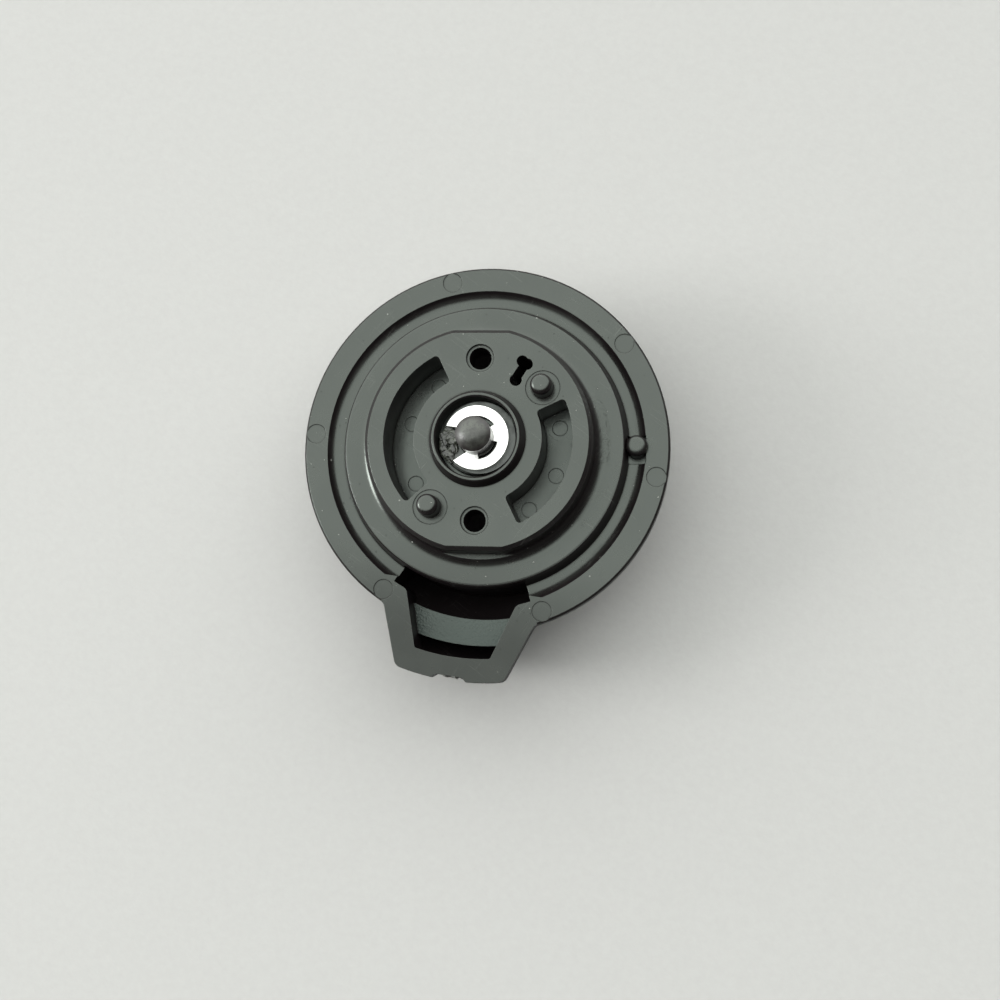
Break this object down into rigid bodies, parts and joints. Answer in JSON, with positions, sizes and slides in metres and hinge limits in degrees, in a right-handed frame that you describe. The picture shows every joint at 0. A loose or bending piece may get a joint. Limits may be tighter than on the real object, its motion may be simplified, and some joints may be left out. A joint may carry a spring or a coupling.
{
  "type": "bobbin case",
  "caption": "Flanged cup-shaped bobbin case with a clipped spindle turning in its hub, a stop tab and an adjustable leaf tension spring.",
  "frame": {"origin": "on the spindle's axis, on the turntable's face that the bobbin sits on, where the bobbin post leaves it", "axes": "+Z along the spindle's axis towards the hub, so the cup's mouth faces -Z; the stop tab points along -Y"},
  "size_m": [0.037, 0.0419, 0.0209],
  "materials": {
    "case_plastic": "moulded black plastic, satin, with fine scratches",
    "post_plastic": "moulded black plastic, matt",
    "dark_steel": "blackened steel, greased",
    "bright_steel": "bright zinc-plated steel",
    "grey_steel": "grey steel",
    "spring_steel": "rolled spring steel",
    "plated_steel": "nickel-plated steel",
    "brass": "turned brass"
  },
  "bodies": {
    "case": {"case_body": "case_plastic", "thrust_washer": "grey_steel", "wave_washer": "spring_steel", "fixing_screw": "plated_steel", "tension_insert": "brass", "fixing_insert": "brass"},
    "spindle": {"spindle_pin": "dark_steel", "bobbin_post": "post_plastic", "e_clip": "bright_steel"},
    "tension_leaf": {"tension_spring": "spring_steel", "regulator_leaf": "spring_steel"},
    "adjusting_screw": {"tension_screw": "plated_steel"}
  },
  "joints": [
    {"name": "spindle_spin", "type": "hinge", "parent": "case", "child": "spindle", "pos_m": [0, 0, 0], "axis": [0, 0, 1], "continuous": true},
    {"name": "leaf_lift", "type": "hinge", "parent": "case", "child": "tension_leaf", "pos_m": [0.00831, -0.01064, -0.0056], "axis": [0, 0, -1], "range_deg": [0, 1], "stiffness_Nm_per_rad": 0.05},
    {"name": "tension_screw_turn", "type": "hinge", "parent": "case", "child": "adjusting_screw", "pos_m": [0.01243, -0.00528, -0.0056], "axis": [0.9205, -0.3907, 0], "range_deg": [-180, 360]}
  ]
}
